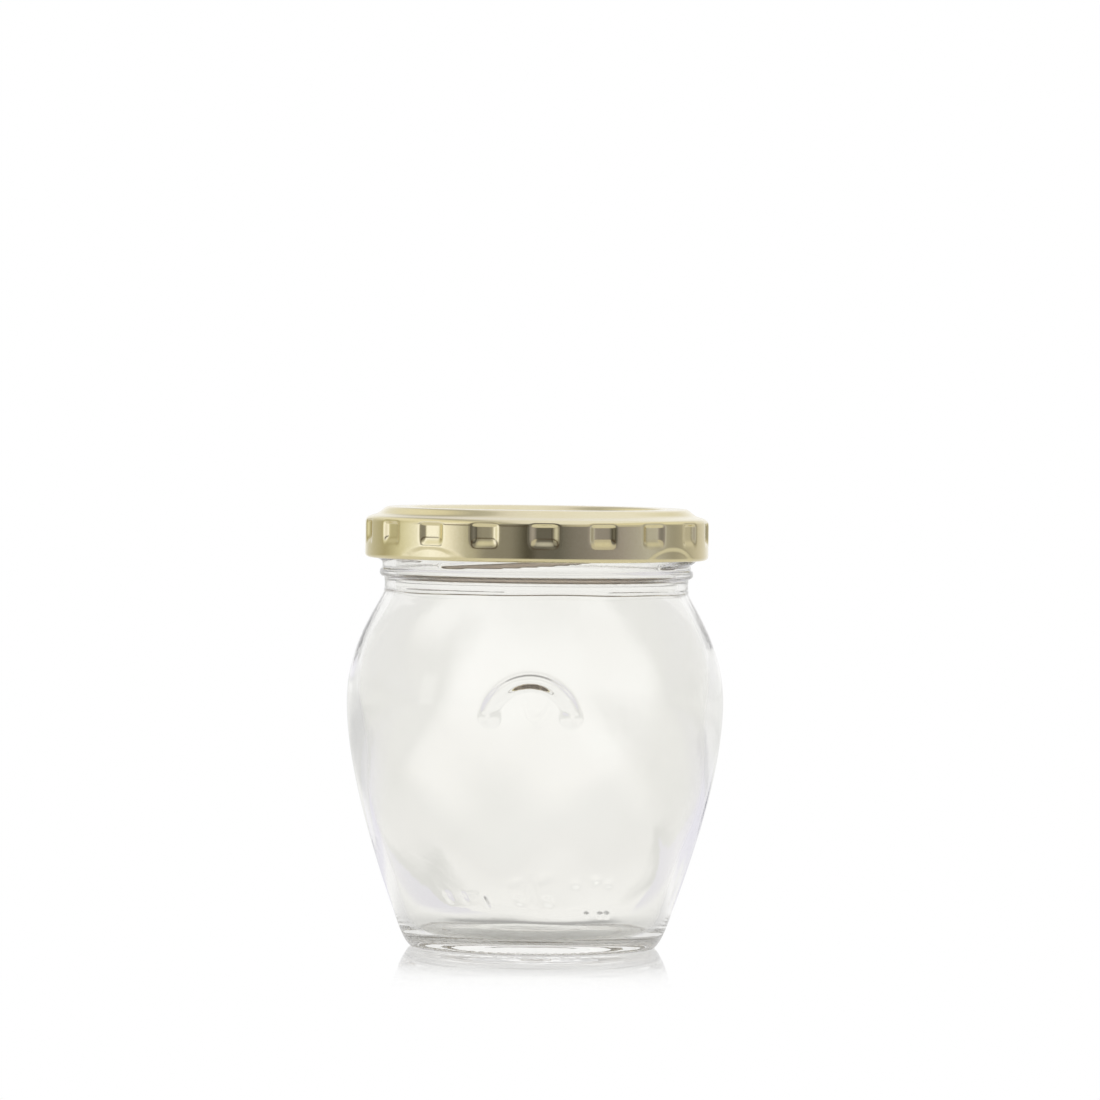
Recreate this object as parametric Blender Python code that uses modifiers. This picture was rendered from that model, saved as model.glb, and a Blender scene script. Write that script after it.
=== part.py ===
"""Belly-shaped glass jar with a one-piece twist-off lug cap.

The jar stands on its bearing ring at z = 0, centred on the Z axis, with its front at -Y.
Azimuths are measured from the front towards +X, which is counter-clockwise seen from above.
The cap sits part-turned on the four threads, a little above the height where it seals.
Units are metres.
"""

import math

import bmesh
import bpy

MM = 0.001

# ---- Glass body: radii and heights of the outer form; the heel's pulls are shares of its height ----
BELLY_R = 37.0 * MM
BELLY_Z = 48.2 * MM
SHOULDER_Z = 70.0 * MM
HEEL_R = 26.9 * MM
HEEL_Z = 5.45 * MM
HEEL_SET = 2.9 * MM
HEEL_PULL_HIGH = (0.11, 0.70)
HEEL_PULL_LOW = (0.28, 0.22)
BEARING_WIDTH = 5.4 * MM
PUSH_UP_MARGIN = 1.3 * MM
PUSH_UP_HEIGHT = 2.2 * MM
WALL = 2.4 * MM
BASE_THICKNESS = 2.6 * MM
FLOOR_RISE = 1.6 * MM
INNER_CORNER = 3.0 * MM

# ---- Jar finish: neck, transfer bead, sealing rim ----
FINISH_R = 30.3 * MM
FINISH_WALL = 2.5 * MM
NECK_STEP = 0.5 * MM
NECK_LENGTH = 3.5 * MM
BEAD_HEIGHT = 1.6 * MM
BEAD_DEPTH = 0.5 * MM
RIM_ROUND = 0.8 * MM

# ---- Threads: right-hand starts, and the first one's low end ----
STARTS = 4
LEAD = 12.0 * MM
THREAD_R = 0.8 * MM
THREAD_DEPTH = 1.1 * MM
THREAD_SPAN = 65.0
THREAD_AZIMUTH = -35.0
THREAD_RAISE = 1.8 * MM

# ---- Arched handle relief on the front ----
HANDLE_R = 8.4 * MM
HANDLE_BAND_R = 2.0 * MM
HANDLE_DROP = 3.1 * MM
HANDLE_DEPTH = 1.5 * MM
HANDLE_FOOT_ANGLE = 12.0
HANDLE_FOOT_SIZE = 0.7
HANDLE_AZIMUTH = -1.3

# ---- Cap ----
CAP_HEIGHT = 10.0 * MM
CAP_SHEET = 0.22 * MM
PANEL_DEPTH = 1.0 * MM
PANEL_SLOPE = 1.2 * MM
RING_EDGE_WIDTH = 0.5 * MM
RING_EDGE_DROP = 0.15 * MM
CONE_DROP = 1.35 * MM
CONE_WIDTH = 1.6 * MM
BROW_WIDTH = 0.6 * MM
BROW_DROP = 0.6 * MM
SKIRT_EASE = 0.35 * MM
CURL_R = 0.85 * MM

# ---- Dimples pressed into the skirt, for grip ----
DIMPLES = 18
DIMPLE_AZIMUTH = 2.6
DIMPLE_HALF_FLOOR = 3.0
DIMPLE_HALF_MOUTH = 4.9
DIMPLE_DEPTH = 0.75 * MM
DIMPLE_TOP = 2.9 * MM
DIMPLE_FLOOR = 2.75 * MM
DIMPLE_SLOPE = 1.6 * MM

# ---- Lugs ----
LUG_AZIMUTH = -38.0
LUG_HALF_FLAT = 4.6
LUG_HALF_FOOT = 8.6
LUG_THICKNESS = 0.7 * MM
LUG_RAISE = 0.05 * MM

# ---- Gasket ----
GASKET_THICKNESS = 0.9 * MM
GASKET_BEVEL = 0.2 * MM
GASKET_SHOULDER = 0.95 * MM
GASKET_REACH = 0.55

# ---- How far the cap stands open, in degrees of turn before it seals ----
SEAL_TURN = 54.0

# ---- Fits ----
LUG_TIP_GAP = 0.3 * MM
SKIRT_GAP = 0.65 * MM
CONTACT_GAP = 0.3 * MM
SEAL_GAP = 0.15 * MM
GASKET_LAP = 1.5 * MM
PANEL_LAP = 2.6 * MM
RING_INSET = 0.7 * MM

# ---- Facets ----
JAR_STEPS = 48
CAP_STEPS = 5 * DIMPLES
GASKET_STEPS = 48

# ---- Sizes that follow from the ones above ----
BORE_R = FINISH_R - FINISH_WALL
SHOULDER_R = FINISH_R - NECK_STEP
BEAD_Z = SHOULDER_Z + NECK_LENGTH
THREAD_Z = BEAD_Z + THREAD_RAISE
BEARING_R = HEEL_R - HEEL_SET
PUSH_UP_R = BEARING_R - BEARING_WIDTH - PUSH_UP_MARGIN
HANDLE_Z = BELLY_Z - HANDLE_DROP
CAP_R = FINISH_R + THREAD_DEPTH + SKIRT_GAP + 2 * CURL_R
RING_OUTER_R = FINISH_R - RING_INSET
RING_INNER_R = BORE_R - PANEL_LAP
GASKET_INNER_R = BORE_R - GASKET_LAP
DIMPLE_BOTTOM = DIMPLE_TOP + DIMPLE_FLOOR

# Half the axial pitch between two thread starts is where a lug rides, clear of both.
PITCH = LEAD / STARTS
LIFT = LEAD * SEAL_TURN / 360
LUG_Z = THREAD_Z + PITCH / 2 + LEAD * (LUG_AZIMUTH - THREAD_AZIMUTH) / 360
CURL_BOTTOM_Z = LUG_Z - LUG_THICKNESS / 2 - LUG_RAISE
CAP_TOP_Z = CURL_BOTTOM_Z + CAP_HEIGHT
GASKET_TOP_Z = CAP_TOP_Z - CAP_SHEET - CONTACT_GAP
RIM_Z = GASKET_TOP_Z - GASKET_THICKNESS - LIFT - SEAL_GAP


def arc(centre, radius, start, end, count, squash=1.0):
    """Points (r, z) on an arc between two angles in degrees; squash scales its height."""
    points = []
    for i in range(count):
        a = math.radians(start + (end - start) * i / (count - 1))
        points.append((centre[0] + radius * math.cos(a), centre[1] + squash * radius * math.sin(a)))
    return points


def bezier(p0, p1, p2, p3, count):
    """Points on a cubic Bezier curve, both ends included."""
    points = []
    for i in range(count):
        t = i / (count - 1)
        s = 1 - t
        weights = (s ** 3, 3 * s * s * t, 3 * s * t * t, t ** 3)
        points.append(tuple(sum(w * p[k] for w, p in zip(weights, (p0, p1, p2, p3))) for k in (0, 1)))
    return points


def upper_body(belly_r, shoulder_r, shoulder_z, count):
    """Outline from the shoulder down to the belly, vertical where it meets the belly."""
    rise = shoulder_z - BELLY_Z
    start = (shoulder_r, shoulder_z)
    near_start = (shoulder_r + 0.037 * rise, shoulder_z - 0.13 * rise)
    near_belly = (belly_r, BELLY_Z + 0.517 * rise)
    return bezier(start, near_start, near_belly, (belly_r, BELLY_Z), count)


def lower_body(belly_r, heel_r, heel_z, count):
    """Outline from the belly down to the heel, vertical where it leaves the belly."""
    drop = BELLY_Z - heel_z
    near_belly = (belly_r, BELLY_Z - 0.385 * drop)
    near_heel = (heel_r + 0.028 * drop, heel_z + 0.093 * drop)
    return bezier((belly_r, BELLY_Z), near_belly, near_heel, (heel_r, heel_z), count)


def outer_profile():
    """Outside of the glass, from the rim down to the centre of the underside."""
    points = arc((FINISH_R - RIM_ROUND, RIM_Z - RIM_ROUND), RIM_ROUND, 90, 0, 4)
    bead_round = BEAD_HEIGHT / 2
    squash = bead_round / BEAD_DEPTH
    points += arc((FINISH_R, BEAD_Z), BEAD_DEPTH, 90, -90, 6, squash)
    points += upper_body(BELLY_R, SHOULDER_R, SHOULDER_Z, 9)
    points += lower_body(BELLY_R, HEEL_R, HEEL_Z, 11)[1:]
    high = (HEEL_R - HEEL_PULL_HIGH[0] * HEEL_Z, HEEL_PULL_HIGH[1] * HEEL_Z)
    low = (HEEL_R - HEEL_PULL_LOW[0] * HEEL_Z, HEEL_PULL_LOW[1] * HEEL_Z)
    points += bezier((HEEL_R, HEEL_Z), high, low, (BEARING_R, 0.0), 4)[1:]
    points.append((BEARING_R - BEARING_WIDTH, 0.0))
    points.append((PUSH_UP_R, 0.4 * PUSH_UP_HEIGHT))
    points.append((0.6 * PUSH_UP_R, 0.85 * PUSH_UP_HEIGHT))
    points.append((0.0, PUSH_UP_HEIGHT))
    return points


def inner_profile():
    """Inside of the glass, from the rim down to the centre of the floor."""
    floor_z = BASE_THICKNESS
    wall_foot = lower_body(BELLY_R - WALL, HEEL_R - WALL, HEEL_Z, 11)
    foot_z = floor_z + INNER_CORNER
    wall = [p for p in wall_foot if p[1] > foot_z]
    points = arc((BORE_R + RIM_ROUND, RIM_Z - RIM_ROUND), RIM_ROUND, 90, 180, 4)
    points += upper_body(BELLY_R - WALL, BORE_R, SHOULDER_Z, 8)
    points += wall[1:]
    corner_r = wall[-1][0]
    floor_r = corner_r - INNER_CORNER
    points += bezier(wall[-1], (corner_r - 0.2 * INNER_CORNER, foot_z - 0.45 * INNER_CORNER),
                     (floor_r + 0.5 * INNER_CORNER, floor_z), (floor_r, floor_z), 5)[1:]
    points.append((0.5 * floor_r, floor_z + 0.75 * FLOOR_RISE))
    points.append((0.0, floor_z + FLOOR_RISE))
    return points


def outline_mesh(name, points, closed=False):
    """An edge chain in the XZ plane, ready to be turned about Z."""
    mesh = bpy.data.meshes.new(name)
    edges = [(i, i + 1) for i in range(len(points) - 1)]
    if closed:
        edges.append((len(points) - 1, 0))
    mesh.from_pydata([(r, 0.0, z) for r, z in points], edges, [])
    return mesh


def turned(name, points, steps, collection, closed=False):
    """A profile turned about the Z axis with a Screw modifier."""
    obj = bpy.data.objects.new(name, outline_mesh(name, points, closed))
    collection.objects.link(obj)
    screw = obj.modifiers.new("turn", "SCREW")
    screw.axis = "Z"
    screw.steps = steps
    screw.render_steps = steps
    screw.use_merge_vertices = True
    screw.merge_threshold = 0.00001
    screw.use_smooth_shade = True
    return obj


def material(name, colour, roughness, metallic=0.0, transmission=0.0):
    """A Principled material with plain values."""
    mat = bpy.data.materials.new(name)
    mat.use_nodes = True
    shader = mat.node_tree.nodes["Principled BSDF"]
    shader.inputs["Base Color"].default_value = (*colour, 1.0)
    shader.inputs["Roughness"].default_value = roughness
    shader.inputs["Metallic"].default_value = metallic
    shader.inputs["Transmission Weight"].default_value = transmission
    mat.diffuse_color = (*colour, 1.0)
    return mat


def on_circle(radius, azimuth, z):
    """A point at an azimuth in degrees, measured from the front (-Y) towards +X."""
    a = math.radians(azimuth)
    return (radius * math.sin(a), -radius * math.cos(a), z)


def bead(name, points, radii, thickness, collection):
    """A round glass bead along a path, as a closed mesh to be joined to the jar."""
    curve = bpy.data.curves.new(name, "CURVE")
    curve.dimensions = "3D"
    curve.bevel_depth = thickness
    curve.bevel_resolution = 2
    curve.use_fill_caps = True
    spline = curve.splines.new("POLY")
    spline.points.add(len(points) - 1)
    for knot, position, radius in zip(spline.points, points, radii):
        knot.co = (*position, 1.0)
        knot.radius = radius
    source = bpy.data.objects.new(name, curve)
    collection.objects.link(source)
    obj = as_mesh(source, name, collection)
    obj.hide_render = True
    obj.display_type = "WIRE"
    return obj


def as_mesh(source, name, collection):
    """Replace an object by its evaluated mesh, with doubled vertices welded."""
    depsgraph = bpy.context.evaluated_depsgraph_get()
    mesh = bpy.data.meshes.new_from_object(source.evaluated_get(depsgraph))
    world = source.matrix_world.copy()
    bpy.data.objects.remove(source)
    weld(mesh)
    mesh.name = name
    obj = bpy.data.objects.new(name, mesh)
    obj.matrix_world = world
    collection.objects.link(obj)
    return obj


def weld(mesh):
    """Merge vertices that lie on each other."""
    work = bmesh.new()
    work.from_mesh(mesh)
    bmesh.ops.remove_doubles(work, verts=work.verts, dist=0.000002)
    bmesh.ops.recalc_face_normals(work, faces=work.faces)
    work.to_mesh(mesh)
    work.free()


def thread_bead(index, collection):
    """One of the threads: it rises with the azimuth and sinks into the wall at both ends."""
    count = 15
    points = []
    radii = []
    crest = FINISH_R + THREAD_DEPTH - THREAD_R
    for i in range(count):
        share = i / (count - 1)
        azimuth = THREAD_AZIMUTH + 360 * index / STARTS + THREAD_SPAN * share
        z = THREAD_Z + LEAD * THREAD_SPAN * share / 360
        fade = min(1.0, 5 * share + 0.25, 5 * (1 - share) + 0.25)
        points.append(on_circle(crest - 0.8 * THREAD_DEPTH * (1 - fade), azimuth, z))
        radii.append(0.6 + 0.4 * fade)
    return bead(f"thread_{index + 1}", points, radii, THREAD_R, collection)


def belly_radius(z):
    """Outer radius of the glass body at a height, read from its outline."""
    outline = upper_body(BELLY_R, SHOULDER_R, SHOULDER_Z, 40)
    outline += lower_body(BELLY_R, HEEL_R, HEEL_Z, 40)[1:]
    for (r0, z0), (r1, z1) in zip(outline, outline[1:]):
        if z1 <= z <= z0:
            return r0 + (r1 - r0) * (z0 - z) / (z0 - z1)
    return SHOULDER_R


def handle_bead(collection):
    """A small arched handle in relief on the front of the belly."""
    count = 19
    points = []
    for i in range(count):
        angle = math.radians(HANDLE_FOOT_ANGLE + (180 - 2 * HANDLE_FOOT_ANGLE) * i / (count - 1))
        beside = math.degrees(math.asin(HANDLE_R * math.cos(angle) / BELLY_R))
        z = HANDLE_Z + HANDLE_R * math.sin(angle)
        radius = belly_radius(z) + HANDLE_DEPTH - HANDLE_BAND_R
        points.append(on_circle(radius, HANDLE_AZIMUTH + beside, z))
    radii = [HANDLE_FOOT_SIZE] + [1.0] * (count - 2) + [HANDLE_FOOT_SIZE]
    return bead("front_handle", points, radii, HANDLE_BAND_R, collection)


def build_jar(collection, joined):
    """The glass: a turned wall with its threads and the handle relief joined to it."""
    profile = inner_profile()[::-1] + outer_profile()
    jar = turned("glass_jar", profile, JAR_STEPS, collection)
    additions = [thread_bead(i, joined) for i in range(STARTS)]
    additions.append(handle_bead(joined))
    for addition in additions:
        union = jar.modifiers.new(addition.name, "BOOLEAN")
        union.operation = "UNION"
        union.solver = "EXACT"
        union.object = addition
    jar.data.materials.append(material("clear_glass", (0.90, 0.92, 0.90), 0.03, transmission=1.0))
    return jar


def cap_profile():
    """Outside of the cap sheet from the panel's centre to the end of the curl, z from its top."""
    cone_r = RING_OUTER_R + CONE_WIDTH
    points = [(0.0, -PANEL_DEPTH), (RING_INNER_R - PANEL_SLOPE, -PANEL_DEPTH)]
    points += [(RING_INNER_R, -RING_EDGE_DROP), (RING_INNER_R + RING_EDGE_WIDTH, 0.0)]
    points += [(RING_OUTER_R, 0.0), (cone_r, -CONE_DROP)]
    points += [(CAP_R - BROW_WIDTH, -CONE_DROP - BROW_DROP), (CAP_R, -DIMPLE_TOP + SKIRT_EASE)]
    points += [(CAP_R, -DIMPLE_TOP - SKIRT_EASE), (CAP_R, -DIMPLE_BOTTOM)]
    points += [(CAP_R, -DIMPLE_BOTTOM - DIMPLE_SLOPE)]
    points += arc((CAP_R - CURL_R, CURL_R - CAP_HEIGHT), CURL_R, 0, -225, 6)
    return points


def cap_column_azimuths():
    """Azimuths of the cap's columns: five to each dimple, on the edges of its floor and mouth."""
    pitch = 360 / DIMPLES
    offsets = (-DIMPLE_HALF_MOUTH, -DIMPLE_HALF_FLOOR, DIMPLE_HALF_FLOOR, DIMPLE_HALF_MOUTH, pitch / 2)
    return [DIMPLE_AZIMUTH + pitch * i + offset for i in range(DIMPLES) for offset in offsets]


def nearest_turn(azimuth, first, count):
    """Distance in degrees from the nearest of count evenly spaced azimuths."""
    pitch = 360 / count
    return abs((azimuth - first + pitch / 2) % pitch - pitch / 2)


def press_dimple(azimuth, r, z):
    """The radius after the dimples are pressed in: a flat floor with sloping sides."""
    across = nearest_turn(azimuth, DIMPLE_AZIMUTH, DIMPLES)
    in_floor = -DIMPLE_BOTTOM - 0.01 * MM <= z <= -DIMPLE_TOP
    if across > DIMPLE_HALF_FLOOR + 0.01 or not in_floor or r < CAP_R - 0.01 * MM:
        return r
    return r - DIMPLE_DEPTH


def press_lug(azimuth, r, z):
    """Radius and height after the curl is flattened inwards into the lugs."""
    across = nearest_turn(azimuth, LUG_AZIMUTH, STARTS)
    share = max(0.0, min(1.0, (LUG_HALF_FOOT - across) / (LUG_HALF_FOOT - LUG_HALF_FLAT)))
    curl_z = CURL_R - CAP_HEIGHT
    reach = CAP_R - 0.9 * CURL_R - r
    if share == 0.0 or reach < 0 or z > curl_z + CURL_R:
        return r, z
    tip_r = FINISH_R + LUG_TIP_GAP
    inward = (CAP_R - 2 * CURL_R) - tip_r
    side = max(-1.0, min(1.0, (z - curl_z) / (0.6 * CURL_R)))
    flat_z = LUG_Z - CAP_TOP_Z + side * LUG_THICKNESS / 2
    stretch = min(1.0, reach / CURL_R)
    return r - share * inward * stretch, z + share * (flat_z - z) * stretch


def build_cap(collection):
    """The cap: one sheet with a recessed panel, a dimpled skirt and four lugs on its curl."""
    blank = turned("cap_blank", cap_profile(), CAP_STEPS, collection)
    cap = as_mesh(blank, "cap_shell", collection)
    columns = cap_column_azimuths()
    step = 360 / CAP_STEPS
    for vertex in cap.data.vertices:
        x, y, z = vertex.co
        radius = math.hypot(x, y)
        if radius < 0.1 * MM:
            continue
        column = round(math.degrees(math.atan2(y, x)) / step) % CAP_STEPS
        azimuth = columns[column]
        radius = press_dimple(azimuth, radius, z)
        radius, z = press_lug(azimuth, radius, z)
        vertex.co = on_circle(radius, azimuth, z)
    weld(cap.data)
    cap.data.shade_smooth()
    cap.data.set_sharp_from_angle(angle=math.radians(40))
    shell = cap.modifiers.new("sheet", "SOLIDIFY")
    shell.thickness = CAP_SHEET
    shell.offset = -1.0
    cap.location = (0.0, 0.0, CAP_TOP_Z)
    cap.data.materials.append(material("gold_tinplate", (0.80, 0.72, 0.52), 0.28, metallic=1.0))
    return cap


def build_gasket(collection):
    """The sealing ring under the cap's raised ring, at the cap's own height."""
    top = GASKET_TOP_Z - CAP_TOP_Z
    bottom = top - GASKET_THICKNESS
    outer = RING_OUTER_R + GASKET_REACH * CONE_WIDTH
    points = [(GASKET_INNER_R, top), (RING_OUTER_R - GASKET_BEVEL, top), (outer, top - GASKET_SHOULDER)]
    points += [(outer - GASKET_BEVEL, bottom), (GASKET_INNER_R + GASKET_BEVEL, bottom)]
    points += [(GASKET_INNER_R, bottom + GASKET_BEVEL)]
    gasket = turned("sealing_gasket", points, GASKET_STEPS, collection, closed=True)
    gasket.location = (0.0, 0.0, CAP_TOP_Z)
    gasket.data.materials.append(material("plastisol", (0.86, 0.83, 0.74), 0.5))
    return gasket


def new_collection(name):
    collection = bpy.data.collections.new(name)
    bpy.context.scene.collection.children.link(collection)
    return collection


def main():
    for obj in list(bpy.data.objects):
        bpy.data.objects.remove(obj)
    parts = new_collection("belly_jar")
    joined = new_collection("glass_reliefs")
    build_jar(parts, joined)
    build_cap(parts)
    build_gasket(parts)


main()
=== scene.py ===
"""A belly-shaped glass jar with a gold twist-off cap, on a bright table.

Every surface is a grid of rings about the Z axis: a profile gives radius and height, and a
relief worked out from azimuth and height moves it outwards or inwards. Azimuths are in
degrees, from the front (-Y) towards +X. Lengths are metres.
"""

import math

import bpy
import numpy as np
from mathutils import Matrix, Vector


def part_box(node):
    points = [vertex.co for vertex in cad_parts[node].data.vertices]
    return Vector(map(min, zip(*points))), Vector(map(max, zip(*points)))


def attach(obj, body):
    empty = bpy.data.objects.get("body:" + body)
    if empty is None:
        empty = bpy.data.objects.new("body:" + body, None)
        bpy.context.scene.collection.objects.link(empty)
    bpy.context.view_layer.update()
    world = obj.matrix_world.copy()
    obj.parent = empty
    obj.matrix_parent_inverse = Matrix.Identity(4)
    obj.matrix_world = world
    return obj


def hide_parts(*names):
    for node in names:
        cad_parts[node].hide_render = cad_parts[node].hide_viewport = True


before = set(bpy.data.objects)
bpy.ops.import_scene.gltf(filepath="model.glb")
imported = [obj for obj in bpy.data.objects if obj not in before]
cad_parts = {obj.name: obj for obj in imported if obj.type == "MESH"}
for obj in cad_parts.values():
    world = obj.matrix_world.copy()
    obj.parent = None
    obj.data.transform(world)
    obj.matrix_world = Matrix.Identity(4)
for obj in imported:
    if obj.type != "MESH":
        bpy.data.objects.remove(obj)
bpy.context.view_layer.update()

MM = 0.001

# ---- Places and sizes read from the frame ----
JAR_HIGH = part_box("glass_jar")[1]
CAP_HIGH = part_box("cap_shell")[1]
GASKET_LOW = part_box("sealing_gasket")[0]
BELLY_R = JAR_HIGH[0]
RIM_Z = JAR_HIGH[2]
CAP_R = CAP_HIGH[0]
CAP_TOP = CAP_HIGH[2]

# ---- Glass body ----
BELLY_Z = 48.2 * MM
SHOULDER_R = 29.8 * MM
SHOULDER_Z = 70.0 * MM
HEEL_R = 26.9 * MM
HEEL_Z = 5.45 * MM
BEARING_R = 24.0 * MM
BEARING_INNER_R = 18.6 * MM
PUSH_UP_R = 17.3 * MM
PUSH_UP_Z = 2.2 * MM
WALL = 2.4 * MM
FLOOR_Z = 2.6 * MM
FLOOR_RISE = 1.6 * MM
CORNER = 3.0 * MM
SHOULDER_PULL = (0.037, 0.13)
BELLY_PULL_UP = 0.517
BELLY_PULL_DOWN = 0.385
HEEL_TOP_PULL = (0.028, 0.093)
HEEL_PULL_HIGH = (0.11, 0.70)
HEEL_PULL_LOW = (0.28, 0.22)
FINISH_R = 30.3 * MM
BORE_R = 27.8 * MM
BEAD_Z = 73.5 * MM
BEAD_DEPTH = 0.5 * MM
BEAD_HALF = 0.8 * MM
RIM_ROUND = 0.8 * MM
SEAM_HEIGHT = 0.04 * MM
SEAM_HALF_ANGLE = 0.8
PARTING_HEIGHT = 0.17 * MM
PARTING_HALF = 0.16 * MM
PARTING_WANDER = 0.1 * MM
KNURL_BARS = 84
KNURL_DEPTH = 0.05 * MM
STIPPLE_SCALE = 1000.0
JAR_COLUMNS = 320

# ---- Threads ----
STARTS = 4
LEAD = 12.0 * MM
THREAD_DEPTH = 1.1 * MM
THREAD_HALF = 0.8 * MM
THREAD_SPAN = 65.0
THREAD_AZIMUTH = -35.0
THREAD_Z = 75.3 * MM

# ---- Handle relief ----
HANDLE_R = 8.4 * MM
HANDLE_DEPTH = 1.49 * MM
HANDLE_Z = 45.1 * MM
HANDLE_FOOT = 12.0
HANDLE_AZIMUTH = -1.3
HANDLE_OUTER = 1.15 * MM
HANDLE_OUTER_WIDTH = 0.42 * MM
HANDLE_INNER = (-1.65 * MM, -0.15 * MM)
HANDLE_EVEN_SHARE = 0.65
HANDLE_FOOT_HEIGHT = 0.62

# ---- Heel marks: azimuth, then height, half width and half height in mm ----
HEEL_MARKS = [(-34, 11.2, 0.27, 0.9), (-27, 11.2, 0.27, 0.8), (-18, 10.5, 0.25, 1.0), (-5, 11.0, 0.9, 0.9),
              (6, 10.8, 0.8, 0.8), (22, 8.2, 0.25, 0.3), (28, 8.1, 0.25, 0.35), (31, 8.1, 0.25, 0.4)]
NARROW_MARK = 0.24 * MM
WIDE_MARK = 0.10 * MM
MARK_LEAN = 0.35

# ---- Cap ----
CURL_R = 0.85 * MM
CAP_HEIGHT = 10.0 * MM
SHEET = 0.2 * MM
DIMPLES = 18
DIMPLE_AZIMUTH = 2.6
DIMPLE_DEPTH = 0.75 * MM
DIMPLE_SIDES = (2.6, 5.3)
DIMPLE_TOP = (-3.1 * MM, -2.45 * MM)
DIMPLE_BOTTOM = (-7.5 * MM, -5.3 * MM)
DIMPLE_FLAT_ANGLE = 3.0
ARCH_DEPTH = 0.3 * MM
ARCH_RISE = 2.4 * MM
ARCH_HALF_ANGLE = 12.5
LUG_AZIMUTH = -38.0
LUG_THICKNESS = 0.7 * MM
LUG_TIP_R = 30.6 * MM
LUG_LIFT = 0.05 * MM

# ---- Finishes: linear colours ----
GLASS_DEEP = (0.936, 0.933, 0.909)
GLASS_THIN = (0.960, 0.957, 0.936)
GOLD_LIGHT = (0.82, 0.74, 0.47)
GOLD_DARK = (0.78, 0.69, 0.42)
INSIDE_LIGHT = (0.52, 0.43, 0.34)
INSIDE_DARK = (0.45, 0.37, 0.29)
COMPOUND_DARK = (0.74, 0.69, 0.58)
COMPOUND_LIGHT = (0.84, 0.80, 0.70)
WHITE = (1.0, 1.0, 1.0)

# ---- Camera and render ----
CAMERA_ASIDE = 2.6 * MM
CAMERA_DISTANCE = 1.5
CAMERA_Z = 115.2 * MM
LOOK_AT_Z = 78.0 * MM
CAMERA_TILT = 0.68
CAMERA_LENS = 249.9
CAMERA_SENSOR = 36.0
GLASS_BOUNCES = 64


# ---------------------------------------------------------------- profiles

def arc(centre, radius, start, end, count, squash=1.0):
    """Points on an arc: centre plus radius times (cos a, squash sin a), a in degrees."""
    a = np.radians(np.linspace(start, end, count))
    across = centre[0] + radius * np.cos(a)
    up = centre[1] + squash * radius * np.sin(a)
    return np.stack([across, up], axis=1)


def bezier(p0, p1, p2, p3, count):
    """Cubic Bezier: each point is the Bernstein-weighted sum of the four control points."""
    t = np.linspace(0, 1, count)[:, None]
    s = 1 - t
    p0, p1, p2, p3 = (np.array(p, float) for p in (p0, p1, p2, p3))
    return s ** 3 * p0 + 3 * s * s * t * p1 + 3 * s * t * t * p2 + t ** 3 * p3


def upper_body(belly_r, shoulder_r, count):
    """From the shoulder down to the belly, vertical at the belly."""
    rise = SHOULDER_Z - BELLY_Z
    near_shoulder = (shoulder_r + SHOULDER_PULL[0] * rise, SHOULDER_Z - SHOULDER_PULL[1] * rise)
    near_belly = (belly_r, BELLY_Z + BELLY_PULL_UP * rise)
    return bezier((shoulder_r, SHOULDER_Z), near_shoulder, near_belly, (belly_r, BELLY_Z), count)


def lower_body(belly_r, heel_r, count):
    """From the belly down to the heel, vertical at the belly."""
    drop = BELLY_Z - HEEL_Z
    near_belly = (belly_r, BELLY_Z - BELLY_PULL_DOWN * drop)
    near_heel = (heel_r + HEEL_TOP_PULL[0] * drop, HEEL_Z + HEEL_TOP_PULL[1] * drop)
    return bezier((belly_r, BELLY_Z), near_belly, near_heel, (heel_r, HEEL_Z), count)


def respaced(points, spacing):
    """The same line with points about spacing apart; spacing may be a function of height."""
    steps = np.hypot(*np.diff(points, axis=0).T)
    keep = np.concatenate([[True], steps > 1e-9])
    points = points[keep]
    steps = np.hypot(*np.diff(points, axis=0).T)
    wanted = spacing(points[:, 1]) if callable(spacing) else np.full(len(points), spacing)
    density = (1 / wanted[1:] + 1 / wanted[:-1]) / 2
    run = np.concatenate([[0], np.cumsum(steps * density)])
    places = np.linspace(0, run[-1], int(round(run[-1])) + 1)
    return np.stack([np.interp(places, run, points[:, k]) for k in (0, 1)], axis=1)


def rounded(corners, radius, count=6):
    """A broken line whose inner corners become quadratic curves that start radius before them."""
    corners = np.array(corners, float)
    line = [corners[:1]]
    t = np.linspace(0, 1, count)[:, None]
    for before, corner, after in zip(corners, corners[1:], corners[2:]):
        back = before - corner
        ahead = after - corner
        reach_back = min(radius, 0.45 * np.hypot(*back)) / np.hypot(*back)
        reach_ahead = min(radius, 0.45 * np.hypot(*ahead)) / np.hypot(*ahead)
        start = corner + back * reach_back
        end = corner + ahead * reach_ahead
        line.append((1 - t) ** 2 * start + 2 * t * (1 - t) * corner + t * t * end)
    line.append(corners[-1:])
    return np.concatenate(line)


def outward(path):
    """Unit normals of a profile: the tangent turned a quarter turn, so that down gives +r."""
    along = np.gradient(path, axis=0)
    along /= np.hypot(along[:, 0], along[:, 1])[:, None]
    return np.stack([-along[:, 1], along[:, 0]], axis=1)


def smooth(low, high, value):
    """0 below low, 1 above high, and 3t^2 - 2t^3 between them."""
    t = np.clip((value - low) / (high - low), 0, 1)
    return t * t * (3 - 2 * t)


def soft_ramp(low, high, value):
    """0 below low, 1 above high and an even slope between, with both corners eased."""
    share = 14 * (value - low) / (high - low)
    return (np.logaddexp(0, share) - np.logaddexp(0, share - 14)) / 14


def nearest(azimuth, first, count):
    """Signed distance in degrees from the nearest of count evenly spaced azimuths."""
    pitch = 360 / count
    return (azimuth - first + pitch / 2) % pitch - pitch / 2


# ---------------------------------------------------------------- meshes

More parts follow.
